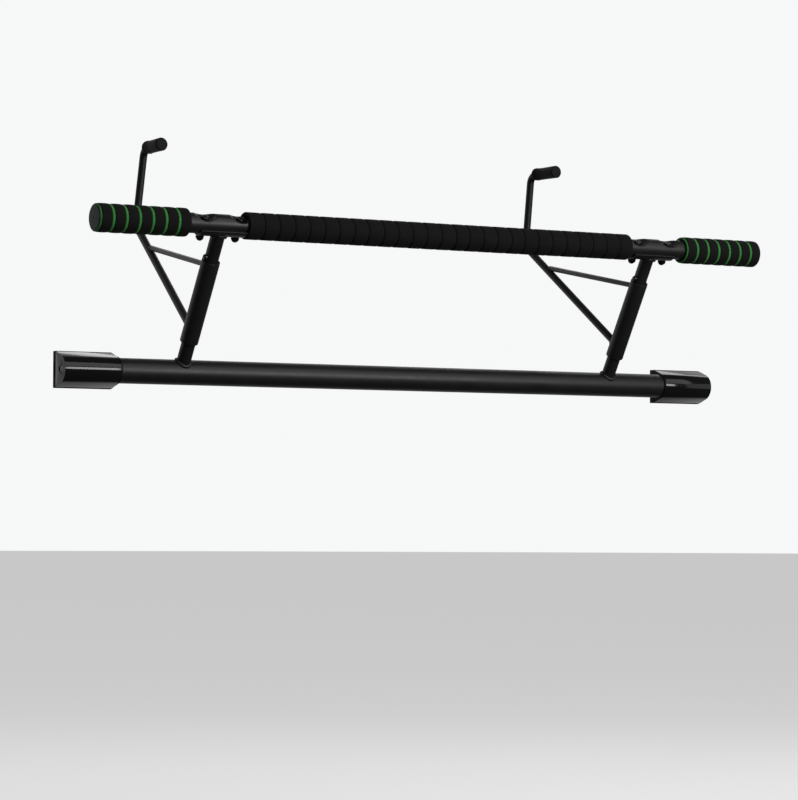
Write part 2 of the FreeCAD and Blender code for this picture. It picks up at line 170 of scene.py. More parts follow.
# %% [markdown]
# ## From mesh to piece
#
# A finished piece needs a material, smooth shading that stays sharp at real edges, a CAD body
# to ride on, and the name of the node that it stands for. One function does all of it, so a
# piece can't be left half done. Its object stays at the origin, and its place is in its mesh.

# %% Finish a piece
def piece(name, bm, body, finish, node, sharp=38):
    bmesh.ops.remove_doubles(bm, verts=bm.verts, dist=1e-6)
    bmesh.ops.recalc_face_normals(bm, faces=bm.faces)
    mesh = bpy.data.meshes.new(name)
    bm.to_mesh(mesh)
    bm.free()
    mesh.materials.append(finish)
    mesh.shade_smooth()
    mesh.set_sharp_from_angle(angle=math.radians(sharp))
    made = bpy.data.objects.new(name, mesh)
    bpy.context.scene.collection.objects.link(made)
    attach(made, body)
    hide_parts(node)
    print(f"{name:22s} {len(mesh.polygons):6d} faces")
    return made


def dress(node, finish):
    """Gives a CAD node that stays its finish."""
    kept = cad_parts[node]
    kept.data.materials.clear()
    kept.data.materials.append(finish)


# %% [markdown]
# ## Writing shaders as sums
#
# A finish is a little graph of nodes. Written out one link at a time it is hard to read, so a
# small class wraps a socket and lets plain arithmetic add the Math nodes: `1 - mask * 0.3`
# makes two of them. Colours don't go through Math, which would turn them grey.

# %% Wire and Finish
class Wire:
    """A node's output that can be added, subtracted and multiplied."""

    def __init__(self, finish, socket):
        self.finish = finish
        self.socket = socket

    def sum_with(self, operation, first, second):
        return self.finish.node("ShaderNodeMath", {"operation": operation}, {0: first, 1: second})

    def __add__(self, other):
        return self.sum_with("ADD", self, other)

    def __radd__(self, other):
        return self.sum_with("ADD", other, self)

    def __sub__(self, other):
        return self.sum_with("SUBTRACT", self, other)

    def __rsub__(self, other):
        return self.sum_with("SUBTRACT", other, self)

    def __mul__(self, other):
        return self.sum_with("MULTIPLY", self, other)

    def __rmul__(self, other):
        return self.sum_with("MULTIPLY", other, self)


class Finish:
    """A material whose shader starts with plain values, which wires then vary."""

    def __init__(self, name, **values):
        self.material = bpy.data.materials.new(name)
        self.material.use_nodes = True
        self.tree = self.material.node_tree
        self.shader = self.tree.nodes["Principled BSDF"]
        for socket, value in values.items():
            self.shader.inputs[socket.replace("_", " ")].default_value = value
        self.place = self.node("ShaderNodeTexCoord", {}, {}, "Object")

    def node(self, kind, settings, sockets, output=0):
        """Adds any node: its settings first, then the values or wires of its sockets."""
        made = self.tree.nodes.new(kind)
        for name, value in settings.items():
            setattr(made, name, value)
        for name, value in sockets.items():
            self.plug(value, made.inputs[name])
        return Wire(self, made.outputs[output])

    def plug(self, value, socket):
        if isinstance(value, Wire):
            self.tree.links.new(value.socket, socket)
        else:
            socket.default_value = value

    def vary(self, socket, value):
        self.plug(value, self.shader.inputs[socket])

    def speckle(self, scale, detail=2.0, rough=0.5):
        """Noise from 0 to 1. Scale counts its lumps in a metre."""
        return self.node("ShaderNodeTexNoise", {}, {"Vector": self.place, "Scale": scale,
                                                    "Detail": detail, "Roughness": rough}, "Fac")

    def cells(self, scale):
        """Foam cells or pits: how far each point is from the middle of its cell."""
        return self.node("ShaderNodeTexVoronoi", {"feature": "F1"},
                         {"Vector": self.place, "Scale": scale}, "Distance")

    def ramp(self, wire, low, high):
        """Stretches a wire so that low becomes 0 and high becomes 1."""
        return self.node("ShaderNodeMapRange", {"clamp": True},
                         {"Value": wire, "From Min": low, "From Max": high})

    def mix(self, share, first, second):
        """A colour between two colours."""
        mixed = self.node("ShaderNodeMix", {"data_type": "RGBA"}, {"Factor": share}, "Result")
        made = mixed.socket.node
        self.plug(first, made.inputs[6])
        self.plug(second, made.inputs[7])
        return Wire(self, made.outputs[2])

    def relief(self, height, depth):
        """Bump: a height from 0 to 1 stands for that many metres."""
        self.vary("Normal", self.node("ShaderNodeBump", {}, {"Height": height, "Distance": depth}, "Normal"))


def grey(level, warm=0.0):
    return (level * (1 + warm), level, level * (1 - warm), 1.0)


# %% [markdown]
# ## Powder coat
#
# The steel is sprayed with black powder and baked. It flows into a satin skin that is never
# quite flat: a fine orange peel about a millimetre across, over a slower unevenness. Both are
# noise in a bump, and the gloss drifts a little along the bar. Handling leaves faint rubbed
# patches that are smoother than the rest.

# %% Powder coat
coat = Finish("powder_coat", IOR=1.5)
peel = coat.speckle(900.0, 1.0)
drift = coat.speckle(35.0, 3.0)
rubbed = coat.ramp(coat.speckle(14.0, 5.0, 0.65), 0.52, 0.75)
coat.vary("Base Color", coat.mix(drift, grey(0.0085), grey(0.016, 0.02)))
coat.vary("Roughness", 0.36 + drift * 0.12 + peel * 0.05 - rubbed * 0.08)
coat.relief(peel * 0.8 + drift * 1.2, 0.00006)

# %% [markdown]
# ## Moulded plastics
#
# The end caps are glossy injection-moulded plastic, which mirrors the room in soft stripes. A
# mould leaves very slight waves, and use leaves hair scratches that show only in the gloss.
# The plugs are the same family with a spark-eroded, finely pitted skin.

# %% Cap and plug plastic
gloss = Finish("cap_plastic", IOR=1.5)
waves = gloss.speckle(22.0, 2.0)
hair = gloss.ramp(gloss.node("ShaderNodeTexNoise", {}, {
    "Vector": gloss.node("ShaderNodeMapping", {}, {"Vector": gloss.place, "Scale": (12.0, 240.0, 90.0)}),
    "Scale": 9.0, "Detail": 4.0}, "Fac"), 0.60, 0.72)
gloss.vary("Base Color", gloss.mix(waves, grey(0.0065), grey(0.010, -0.03)))
gloss.vary("Roughness", 0.07 + waves * 0.05 + hair * 0.08)
gloss.relief(waves, 0.000015)

pitted = Finish("plug_plastic", IOR=1.48)
pits = pitted.cells(1600.0)
pitted.vary("Base Color", pitted.mix(pitted.speckle(60.0), grey(0.021), grey(0.031)))
pitted.vary("Roughness", 0.52 + pits * 0.15)
pitted.relief(pits, 0.00010)

# %% [markdown]
# ## Foam and rubber
#
# The grips are closed-cell foam tube. Cut or moulded foam shows its cells as pin-pricks, and
# its matt skin scatters light so well that it looks almost the same from every side. Cells are
# a Voronoi pattern at two sizes. The green rings are the same foam, dyed, and dye always takes
# a little unevenly. Rubber is denser: a dull skin with a trace of pale bloom.

# %% Foam
def foam(name, dark, pale, sheen):
    made = Finish(name, IOR=1.45, Specular_IOR_Level=0.12, Sheen_Weight=sheen, Sheen_Roughness=0.5)
    large, small = made.cells(650.0), made.cells(1700.0)
    cloud = made.speckle(48.0, 4.0, 0.6)
    prick = made.ramp(large, 0.12, 0.42)
    tone = cloud * 0.75 + prick * 0.25
    made.vary("Base Color", made.mix(tone, dark, pale))
    made.vary("Roughness", 0.97 - cloud * 0.14)
    made.relief(prick * 0.7 + small * 0.3 + cloud * 0.8, 0.00022)
    return made


black_foam = foam("grip_foam", grey(0.0085, 0.03), grey(0.0150, 0.03), 0.015)
green_foam = foam("green_foam", (0.035, 0.210, 0.042, 1.0), (0.078, 0.370, 0.088, 1.0), 0.03)


# %% Rubber
def rubber(name, level, gloss_at):
    made = Finish(name, IOR=1.45, Specular_IOR_Level=0.2)
    bloom = made.ramp(made.speckle(70.0, 5.0, 0.6), 0.50, 0.80)
    grain = made.speckle(2300.0, 1.0)
    made.vary("Base Color", made.mix(bloom, grey(level, 0.02), grey(level * 2.4, 0.04)))
    made.vary("Roughness", gloss_at + bloom * 0.12 + grain * 0.06)
    made.relief(grain, 0.00008)
    return made


pad_rubber = rubber("pad_rubber", 0.0045, 0.66)
boot_rubber = rubber("boot_rubber", 0.010, 0.58)

# %% [markdown]
# ## Bare and blacked metal
#
# Bolts and nuts are chemically blackened, so they are metal with a dark, slightly oily skin.
# The stop button is blackened too, and rubbed bright where a thumb and the sleeve touch it.
# The leaf spring behind it is tempered steel, and the liner between sleeve and post is nylon.

# %% Metals and nylon
def metal(name, dark, bright, roughness):
    made = Finish(name, Metallic=1.0)
    worn = made.ramp(made.speckle(260.0, 4.0, 0.6), 0.42, 0.74)
    made.vary("Base Color", made.mix(worn, dark, bright))
    made.vary("Roughness", roughness + worn * 0.12)
    made.relief(made.speckle(1500.0, 2.0), 0.00003)
    return made


fastener = metal("black_fastener", grey(0.030, -0.04), grey(0.075, -0.02), 0.34)
button_steel = metal("button_steel", grey(0.045), grey(0.16), 0.30)
spring_steel = metal("spring_steel", grey(0.22, -0.06), grey(0.38, -0.02), 0.28)

nylon = Finish("liner_nylon", IOR=1.53)
nylon.vary("Base Color", nylon.mix(nylon.speckle(120.0), grey(0.020), grey(0.034)))
nylon.vary("Roughness", 0.42 + nylon.speckle(900.0) * 0.14)
nylon.relief(nylon.speckle(1300.0), 0.00005)
print("finishes:", sorted(material.name for material in bpy.data.materials if material.use_nodes))

# %% [markdown]
# ## The lower bar
#
# This is a plain tube, 32 mm across, whose ends disappear into the caps. A lathe outline of
# its wall, with the saw-cut edges just broken, is all it takes.

# %% Lower bar
LOWER_WALL = 1.5 * MM
lower_radius = 16.0 * MM
lower_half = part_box("lower_bar")[1].x

bm = bmesh.new()
lathe(bm, lower_axis - ALONG * lower_half, ALONG, rounded(
    [(0, lower_radius), (2 * lower_half, lower_radius),
     (2 * lower_half, lower_radius - LOWER_WALL), (0, lower_radius - LOWER_WALL)], 0.4 * MM))
piece("lower_bar_tube", bm, "root", coat.material, "lower_bar")

# %% [markdown]
# ## The end caps
#
# A cap is a D: a round nose in front of the bar, and two flat flanks that spread to the rear
# edge. It is a shell with a bore for the bar, a closed end, and a small vent in that end.
# Boolean cuts would do it, but leave messy faces. Here six loops with the same number of
# points are bridged one to the next, like hoops under a skin, and the outer rims are bevelled.

# %% The D outline
CAP_NOSE = 1.6 * MM
CAP_CORNER = 2.0 * MM
CAP_END_WALL = 3.0 * MM
CAP_VENT_RADIUS = 3.0 * MM
CAP_RIM = 0.8 * MM
BORE_GAP = 0.05 * MM
pad_low, pad_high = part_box("jamb_pad_right")
cap_low, cap_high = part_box("end_cap_right")
half_height = pad_high.z
cap_rear = cap_high.y
nose = lower_radius + CAP_NOSE


def d_outline(x, rear, corner, count=48):
    """Points round the D, from the upper rear corner over the nose to the lower one."""
    depth = rear - lower_axis.y
    reach = math.hypot(depth, half_height)
    touch = math.atan2(half_height, depth) + math.acos(nose / reach)
    upper = []
    if corner:
        flank = math.atan2(half_height - nose * math.sin(touch), depth - nose * math.cos(touch))
        back = corner / math.tan((math.pi / 2 - flank) / 2)
        heart = Vector((depth - corner, half_height - back))
        for step in range(6):
            turn = step / 5 * (math.pi / 2 + flank)
            upper.append((heart.x + corner * math.cos(turn), heart.y + corner * math.sin(turn)))
    else:
        upper = [(depth, half_height)]
    arc = [touch + (2 * math.pi - 2 * touch) * step / count for step in range(count + 1)]
    points = upper + [(nose * math.cos(turn), nose * math.sin(turn)) for turn in arc]
    points += [(depth_at, -height) for depth_at, height in reversed(upper)]
    return [lower_axis + Vector((x, y, z)) for y, z in points]


def loop_of(bm, points):
    verts = [bm.verts.new(point) for point in points]
    return [bm.edges.new(pair) for pair in zip(verts, verts[1:] + verts[:1])]


def circle_points(x, radius, like):
    """As many points on a circle as the outline has, each on the same ray from the bar's axis."""
    rays = [Vector((0, point.y, point.z)) - Vector((0, lower_axis.y, lower_axis.z)) for point in like]
    return [Vector((x, lower_axis.y, lower_axis.z)) + ray.normalized() * radius for ray in rays]


# %% Skin the caps
def end_cap(side):
    outward = SIDES[side]
    outer, inner = outward * cap_high.x, outward * cap_low.x
    wall = outer - outward * CAP_END_WALL
    bm = bmesh.new()
    outline = d_outline(outer, cap_rear, CAP_CORNER)
    inner_outline = d_outline(inner, cap_rear, CAP_CORNER)
    bore = lower_radius + BORE_GAP
    rounds = [(inner, bore), (wall, bore), (wall, CAP_VENT_RADIUS), (outer, CAP_VENT_RADIUS)]
    hoops = [loop_of(bm, outline), loop_of(bm, inner_outline)]
    hoops += [loop_of(bm, circle_points(x, radius, outline)) for x, radius in rounds]
    for first, second in zip(hoops, hoops[1:] + hoops[:1]):
        bmesh.ops.bridge_loops(bm, edges=first + second)
    bmesh.ops.recalc_face_normals(bm, faces=bm.faces)
    soften(bm, hoops[0] + hoops[1] + hoops[5], CAP_RIM)
    piece("cap_" + side, bm, "root", gloss.material, "end_cap_" + side, sharp=25)


for side in SIDES:
    end_cap(side)

# %% [markdown]
# ## The jamb pads
#
# Behind each cap is a strip of soft rubber, which is what really presses on the door frame. It
# turns a lip round the bar at the cap's inner end. The strip is one outline with a hollow for
# the bar, pushed along X; the lip is a D with a round hole. Both have soft moulded edges.

# %% Pads
PAD_RIM = 0.7 * MM
lip_inner = pad_low.x
lip_outer = cap_low.x - BORE_GAP


def hollow_strip(x):
    """The strip's outline: a block with the bar's hollow in its front."""
    bore = lower_radius + BORE_GAP
    depth = cap_rear + BORE_GAP - lower_axis.y
    turn = math.acos(depth / bore)
    arc = [turn - 2 * turn * step / 16 for step in range(17)]
    front = [(bore * math.cos(at), bore * math.sin(at)) for at in arc]
    back = -lower_axis.y
    corners = [(depth, half_height), *front, (depth, -half_height), (back, -half_height), (back, half_height)]
    return [lower_axis + Vector((x, y, z)) for y, z in corners]


def jamb_pad(side):
    outward = SIDES[side]
    bm = bmesh.new()
    strip = push_prism(bm, hollow_strip(outward * pad_high.x), ALONG * (outward * (lip_outer - pad_high.x)))
    outline = d_outline(outward * lip_outer, 0.0, 0)
    rim = circle_points(outward * lip_outer, lower_radius + BORE_GAP, outline)
    hoops = [loop_of(bm, outline), loop_of(bm, rim)]
    step = ALONG * (outward * (lip_inner - lip_outer))
    hoops += [push(bm, hoops[1], step), push(bm, hoops[0], step)]
    bmesh.ops.bridge_loops(bm, edges=hoops[0] + hoops[1])
    bmesh.ops.bridge_loops(bm, edges=hoops[2] + hoops[3])
    bmesh.ops.recalc_face_normals(bm, faces=bm.faces)
    outer_rim = [edge for edge in hoops[3] if edge.is_valid]
    soften(bm, outer_rim + strip, PAD_RIM)
    made = piece("pad_" + side, bm, "root", pad_rubber.material, "jamb_pad_" + side, sharp=30)


def push_prism(bm, outline, step):
    """A solid with that outline. Gives the edges of its outer end and its long rear corners."""
    start = loop_of(bm, outline)
    far = push(bm, start, step)
    for rim in (start, far):
        bmesh.ops.contextual_create(bm, geom=rim)
    rear = max(vert.co.y for edge in start for vert in edge.verts)
    long_corners = [edge for edge in bm.edges if abs(edge.verts[0].co.x - edge.verts[1].co.x) > 0.01
                    and all(abs(vert.co.y - rear) < 1e-6 for vert in edge.verts)]
    return start + long_corners


for side in SIDES:
    jamb_pad(side)

# %% [markdown]
# ## Weld beads
#
# Where a tube is welded to another, molten metal leaves a bead shaped like a row of fallen
# coins. A small circle spun round the tube gives an even ring. Each point then slides along
# the tube until it meets the other bar, so the ring becomes the saddle-shaped seam, and the
# bead swells and shrinks in steps as it goes round.

# %% Bead
BEAD_STEPS = 96
BEAD_SIDES = 10


def reach(point, direction, centre, axis, radius):
    """How far a point travels along a direction until it meets a round bar."""
    across = point - centre
    across -= axis * across.dot(axis)
    step = direction - axis * direction.dot(axis)
    inside = across.dot(step) ** 2 - step.dot(step) * (across.dot(across) - radius ** 2)
    return (-across.dot(step) - math.sqrt(max(inside, 0.0))) / step.dot(step)


def weld(bm, centre, towards, radius, onto, size, coins, seed):
    """A bead round a rod at centre, where it meets the bar onto = (point, axis, radius)."""
    sideways = towards.orthogonal().normalized()
    before = set(bm.verts)
    section = ring(bm, centre + sideways * radius, towards.cross(sideways), size, BEAD_SIDES)
    verts = list({vert for edge in section for vert in edge.verts})
    bmesh.ops.spin(bm, geom=verts + section, cent=centre, axis=towards, angle=2 * math.pi,
                   steps=BEAD_STEPS, use_merge=True, use_duplicate=False)
    for vert in bm.verts:
        if vert in before:
            continue
        offset = vert.co - centre
        offset -= towards * offset.dot(towards)
        outward = offset.normalized()
        heart = centre + outward * radius
        turn = math.atan2(outward.dot(towards.cross(sideways)), outward.dot(sideways)) / (2 * math.pi)
        coin = (turn * coins) % 1.0
        swell = 0.92 + 0.20 * (1 - coin) + 0.10 * noise.noise(heart * 300 + Vector((seed, 0, 0)))
        slide = reach(heart, towards, *onto)
        vert.co = heart + (vert.co - heart) * swell + towards * slide


def cope(verts, direction, onto, sink):
    """Slides the end of a tube along its axis until it sits in the bar that it is welded to."""
    for vert in verts:
        vert.co += direction * (reach(vert.co, direction, *onto) + sink)


# %% [markdown]
# ## The posts
#
# Each post is a tube that leans forward and joins the two bars. Its ends are fish-mouthed to
# the round bars they sit on, and welded all round. The stop button comes out through a hole in
# its side, which a Boolean cuts at the end, because that one hole crosses the wall at an angle
# to every loop of the mesh.

# %% Posts
POST_RADIUS = 9.0 * MM
POST_WALL = 2.0 * MM
BEAD = 2.6 * MM
BUTTON_HOLE = 4.08 * MM
SADDLE_THICKNESS = 2.5 * MM
grip_radius = 12.7 * MM
saddle_outer = grip_radius + BORE_GAP + SADDLE_THICKNESS
stop_rise = sum(stretch("stop_button_left", post_up)) / 2
LOWER_SEAT = (lower_axis, ALONG, lower_radius)
SADDLE_SEAT = (grip_axis, ALONG, saddle_outer)


def cut_hole(target, centre, direction, length, radius):
    """Cuts a round hole through an object, and takes the tool away again."""
    bm = bmesh.new()
    push(bm, ring(bm, centre, direction, radius, 48), direction * length)
    close_ends(bm)
    bmesh.ops.recalc_face_normals(bm, faces=bm.faces)
    tool_mesh = bpy.data.meshes.new("drill")
    bm.to_mesh(tool_mesh)
    bm.free()
    tool = bpy.data.objects.new("drill", tool_mesh)
    bpy.context.scene.collection.objects.link(tool)
    cut = target.modifiers.new("hole", "BOOLEAN")
    cut.operation = "DIFFERENCE"
    cut.solver = "EXACT"
    cut.object = tool
    apply_modifiers(target)
    bpy.data.objects.remove(tool)


def apply_modifiers(target):
    bpy.context.view_layer.update()
    shown = target.evaluated_get(bpy.context.evaluated_depsgraph_get())
    target.data = bpy.data.meshes.new_from_object(shown)
    target.modifiers.clear()


def post(side):
    foot = post_foot(side)
    start, end = lower_radius, post_length - saddle_outer
    bm = bmesh.new()
    lathe(bm, foot + post_up * start, post_up, [
        (0, POST_RADIUS), (end - start, POST_RADIUS), (end - start, POST_RADIUS - POST_WALL),
        (0, POST_RADIUS - POST_WALL)])
    bmesh.ops.remove_doubles(bm, verts=bm.verts, dist=1e-6)
    half_way = (foot + post_up * post_length / 2).dot(post_up)
    lower = [vert for vert in bm.verts if vert.co.dot(post_up) < half_way]
    upper = [vert for vert in bm.verts if vert.co.dot(post_up) > half_way]
    cope(lower, -post_up, LOWER_SEAT, 0)
    cope(upper, post_up, SADDLE_SEAT, 0)
    made = piece("post_" + side + "_tube", bm, "root", coat.material, "post_" + side)
    cut_hole(made, foot + post_up * stop_rise, -ALONG, 2 * POST_RADIUS, BUTTON_HOLE)
    made.data.set_sharp_from_angle(angle=math.radians(38))

    bm = bmesh.new()
    weld(bm, foot + post_up * (2 * lower_radius), -post_up, POST_RADIUS, LOWER_SEAT, BEAD, 17, SIDES[side])
    weld(bm, foot + post_up * (post_length - 2 * saddle_outer), post_up, POST_RADIUS, SADDLE_SEAT,
         BEAD, 15, SIDES[side] + 4)
    piece("post_" + side + "_welds", bm, "root", coat.material, "post_" + side,
          sharp=180)


for side in SIDES:
    post(side)

# %% [markdown]
# ## The saddles
#
# The grip bar lies in a half shell of bent plate on top of each post. Plate bent round a bar
# is a rectangle spun part of a turn, so its section is drawn with rounded corners and turned
# through 156 degrees. The two ends that the spin leaves open are filled, then bevelled.

# %% Saddles
SADDLE_WRAP = math.radians(78)
SADDLE_RIM = 0.6 * MM
saddle_low, saddle_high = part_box("saddle_right")
saddle_half = (saddle_high.x - saddle_low.x) / 2


def saddle(side):
    centre = grip_axis + ALONG * (SIDES[side] * post_x)
    inner = grip_radius + BORE_GAP
    section = rounded([(-saddle_half, saddle_outer), (saddle_half, saddle_outer),
                       (saddle_half, inner), (-saddle_half, inner)], SADDLE_RIM, 3)
    start = Matrix.Rotation(-SADDLE_WRAP, 3, ALONG) @ -post_up
    bm = bmesh.new()
    edges = loop_of(bm, [centre + ALONG * along + start * radius for along, radius in section])
    verts = list({vert for edge in edges for vert in edge.verts})
    bmesh.ops.spin(bm, geom=verts + edges, cent=centre, axis=ALONG, angle=2 * SADDLE_WRAP,
                   steps=44, use_merge=False, use_duplicate=False)
    rims = [edge for edge in bm.edges if edge.is_boundary]
    close_ends(bm)
    bmesh.ops.recalc_face_normals(bm, faces=bm.faces)
    soften(bm, rims, SADDLE_RIM * 0.8)
    piece("saddle_" + side + "_plate", bm, "root", coat.material, "saddle_" + side)


for side in SIDES:
    saddle(side)

# %% [markdown]
# ## The grip bar
#
# Under each bolt head the tube wall is pressed down into a smooth scoop with a flat floor.
# Cutting scoops leaves knife edges that pressing never does. So the tube starts as a fine net
# of points near the bolts and a coarse one elsewhere, and each point above a scoop's surface
# is pushed down onto it. A soft minimum rounds the brim, as the press does.

# %% Scoops
GRIP_WALL = 1.5 * MM
BOLT_SPACING = 49.0 * MM
SCOOP_FLOOR = 6.5 * MM
SCOOP_FLOOR_RADIUS = 8.0 * MM
SCOOP_SLOPE = 6.2 / 5.5
SCOOP_REACH = 17.0 * MM
BRIM = 1.5 * MM
grip_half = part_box("grip_bar")[1].x
bolt_places = [side * post_x + step * BOLT_SPACING / 2 for side in SIDES.values() for step in (-1, 1)]


def soft_min(first, second, blend):
    share = max(blend - abs(first - second), 0.0) / blend
    return min(first, second) - share * share * blend / 4


def pressed(height, x, across, wall):
    """A point's height over the grip bar's axis once the scoops are pressed."""
    for place in bolt_places:
        away = math.hypot(x - place, across)
        if away < SCOOP_REACH:
            rise = max(away - SCOOP_FLOOR_RADIUS, 0.0)
            scoop = SCOOP_FLOOR - wall + (math.hypot(rise, BRIM) - BRIM) * SCOOP_SLOPE
            height = soft_min(height, scoop, BRIM)
    return height


def stations():
    """Where the grip bar's loops lie: every 1 mm near a bolt, far apart elsewhere."""
    fine = {round(place + step * MM, 5) for place in bolt_places for step in range(-18, 19)}
    coarse = {round(-grip_half + step * grip_half / 24, 5) for step in range(49)}
    near = {x for x in coarse if min(abs(x - place) for place in bolt_places) < 18 * MM}
    return sorted(fine | (coarse - near))


# %% Press the grip bar
bm = bmesh.new()
places = stations()
outer = ring(bm, Vector((places[0], grip_axis.y, grip_axis.z)), ALONG, grip_radius, 96)
inner = ring(bm, Vector((places[0], grip_axis.y, grip_axis.z)), ALONG, grip_radius - GRIP_WALL, 96)
bmesh.ops.bridge_loops(bm, edges=outer + inner)
for before, here in zip(places, places[1:]):
    outer = push(bm, outer, ALONG * (here - before))
    inner = push(bm, inner, ALONG * (here - before))
bmesh.ops.bridge_loops(bm, edges=outer + inner)
for vert in bm.verts:
    offset = vert.co - grip_axis
    height, across = offset.dot(post_up), offset.dot(post_back)
    wall = 0.0 if math.hypot(height, across) > grip_radius - GRIP_WALL / 2 else GRIP_WALL
    if height > 0:
        vert.co += post_up * (pressed(height, vert.co.x, across, wall) - height)
piece("grip_bar_tube", bm, "root", coat.material, "grip_bar", sharp=60)

# %% [markdown]
# ## The middle grip
#
# One long foam tube covers the bar between the saddles, pushed up against the left one. It is
# marked every 21 mm or so by a narrow groove, so the foam bulges softly between them. The
# outline is worked out groove by groove and turned. Foam is never even, so after the spin each
# groove wanders a little round the bar, and the skin swells and sinks by a tenth of a millimetre.

# %% Middle grip
FOAM_GROOVES = 26
GROOVE_DEPTH = 1.7 * MM
GROOVE_WIDTH = 2.4 * MM
FOAM_END = 2.0 * MM
foam_left, foam_right = (corner.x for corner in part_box("middle_grip"))
middle_radius = 17.1 * MM


def wander(value, seed):
    """Smooth unevenness from -1 to 1, the same on each run."""
    return noise.noise(Vector((value, seed * 7.3, seed * 1.9)))


def groove_places():
    pitch = (foam_right - foam_left) / (FOAM_GROOVES + 1)
    return [foam_left + pitch * (step + 1 + 0.07 * wander(step * 3.7, 2)) for step in range(FOAM_GROOVES)]


def to_end(x):
    return min(x - foam_left, foam_right - x)


def foam_height(x):
    """The foam's outer radius at x: crowned between grooves, rolled over at both ends."""
    nearest = min(abs(x - place) for place in grooves)
    dip = GROOVE_DEPTH * math.exp(-(nearest / (GROOVE_WIDTH / 2)) ** 2)
    short = max(FOAM_END - to_end(x), 0.0)
    roll = FOAM_END - math.sqrt(max(FOAM_END ** 2 - short ** 2, 0.0))
    return middle_radius - dip - roll - 0.06 * MM


grooves = groove_places()
fine_steps = [-3.2, -1.9, -1.3, -0.9, -0.6, -0.3, 0, 0.3, 0.6, 0.9, 1.3, 1.9, 3.2, 6.5]
xs = {round(place + step * MM, 6) for place in grooves for step in fine_steps}
curve = [FOAM_END * (1 - math.cos(math.radians(step))) for step in (0, 18, 36, 54, 72, 90)]
ends = {foam_left + step for step in curve} | {foam_right - step for step in curve}
xs = sorted({x for x in xs if to_end(x) > FOAM_END} | ends)
outline = [(x, foam_height(x)) for x in xs]
outline += [(foam_right, grip_radius + BORE_GAP), (foam_left, grip_radius + BORE_GAP)]
bm = bmesh.new()
lathe(bm, Vector((0, grip_axis.y, grip_axis.z)), ALONG, outline, 72)
for vert in bm.verts:
    offset = vert.co - Vector((vert.co.x, grip_axis.y, grip_axis.z))
    if offset.length > grip_radius + 0.5 * MM:
        turn = math.atan2(offset.z, offset.y)
        sway = noise.noise(Vector((vert.co.x * 40, math.cos(turn) * 0.8, math.sin(turn) * 0.8)))
        lump = noise.noise(Vector((vert.co.x * 90, math.cos(turn) * 2, math.sin(turn) * 2 + 9)))
        if to_end(vert.co.x) > FOAM_END:
            vert.co.x += sway * 0.9 * MM
        vert.co += offset.normalized() * (lump * 0.14 * MM)
middle_grip = piece("middle_grip_foam", bm, "root", black_foam.material, "middle_grip", sharp=50)

# %% [markdown]
# ## The end grips
#
# Each handle grip is a foam tube with seven grooves cut in it, and a green foam ring sits in
# each. Cut foam springs back, so the black between two rings is slightly crowned and its
# shoulders are round. The ring is crowned too, and sits half a millimetre low.

# %% End grips
SEGMENTS = 7
SEGMENT_PITCH = 17.75 * MM
RING_WIDTH = 3.5 * MM
RING_TRIM = 1.5 * MM
RING_INSET = 0.5 * MM
RING_DEPTH = 2.0 * MM
SHOULDER = 1.0 * MM
CROWN = 0.22 * MM
end_radius = grip_radius + 5.1 * MM
seat_radius = end_radius - RING_INSET - RING_DEPTH


def shoulder(corner_x, corner_radius, inward, size, steps=4):
    """A quarter round from a side wall up onto the skin, or back down for inward = -1."""
    turns = [math.pi / 2 * step / steps for step in range(steps + 1)]
    if inward < 0:
        turns.reverse()
    return [(corner_x + inward * size * (1 - math.cos(turn)), corner_radius - size * (1 - math.sin(turn)))
            for turn in turns]


def ring_span(step):
    """Where a green ring starts and ends. The first one is cut flush with the grip's end."""
    last = step * SEGMENT_PITCH + RING_WIDTH - RING_TRIM
    return max(last - RING_WIDTH, 0.0), last


def end_grip_outline():
    """From the -X end: seat of a ring, round shoulder, crowned skin, shoulder, next seat."""
    outline = []
    for step in range(SEGMENTS):
        first, skin = ring_span(step)
        last = skin - RING_WIDTH + SEGMENT_PITCH
        size = SHOULDER if step < SEGMENTS - 1 else 1.8 * SHOULDER
        outline += [(first, seat_radius), (skin, seat_radius)]
        outline += shoulder(skin, end_radius - CROWN, 1, SHOULDER)
        for share in (0.25, 0.5, 0.75):
            outline.append((skin + (last - skin) * share, end_radius - CROWN * (2 * share - 1) ** 2))
        outline += shoulder(last, end_radius - CROWN, -1, size)
    inner = grip_radius + BORE_GAP
    return outline + [(SEGMENTS * SEGMENT_PITCH - RING_TRIM, inner), (0, inner)]


def ring_outline(step):
    """One green ring: a crowned top with round shoulders."""
    first, last = ring_span(step)
    top, bottom, last = end_radius - RING_INSET, seat_radius + BORE_GAP, last - BORE_GAP
    middle_x = (first + last) / 2
    return ([(first, bottom)] + shoulder(first, top - 0.15 * MM, 1, 0.8 * MM) + [(middle_x, top)]
            + shoulder(last, top - 0.15 * MM, -1, 0.8 * MM) + [(last, bottom)])


def ruffle(bm, amount):
    """The slight unevenness of cut foam, on the outer skin only."""
    for vert in bm.verts:
        offset = vert.co - Vector((vert.co.x, grip_axis.y, grip_axis.z))
        if offset.length > seat_radius + 0.5 * MM:
            lump = noise.noise(vert.co * 110 + Vector((3, 5, 8)))
            vert.co += offset.normalized() * (lump * amount)


for side in SIDES:
    start = Vector((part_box("end_grip_" + side)[0].x, grip_axis.y, grip_axis.z))
    bm = bmesh.new()
    lathe(bm, start, ALONG, end_grip_outline())
    ruffle(bm, 0.10 * MM)
    body = piece("end_grip_" + side + "_foam", bm, "root", black_foam.material,
                 "end_grip_" + side)
    bm = bmesh.new()
    for step in range(SEGMENTS):
        lathe(bm, start, ALONG, ring_outline(step))
    ruffle(bm, 0.06 * MM)
    rings = piece("end_grip_" + side + "_rings", bm, "root", green_foam.material,
                  "grip_rings_" + side)

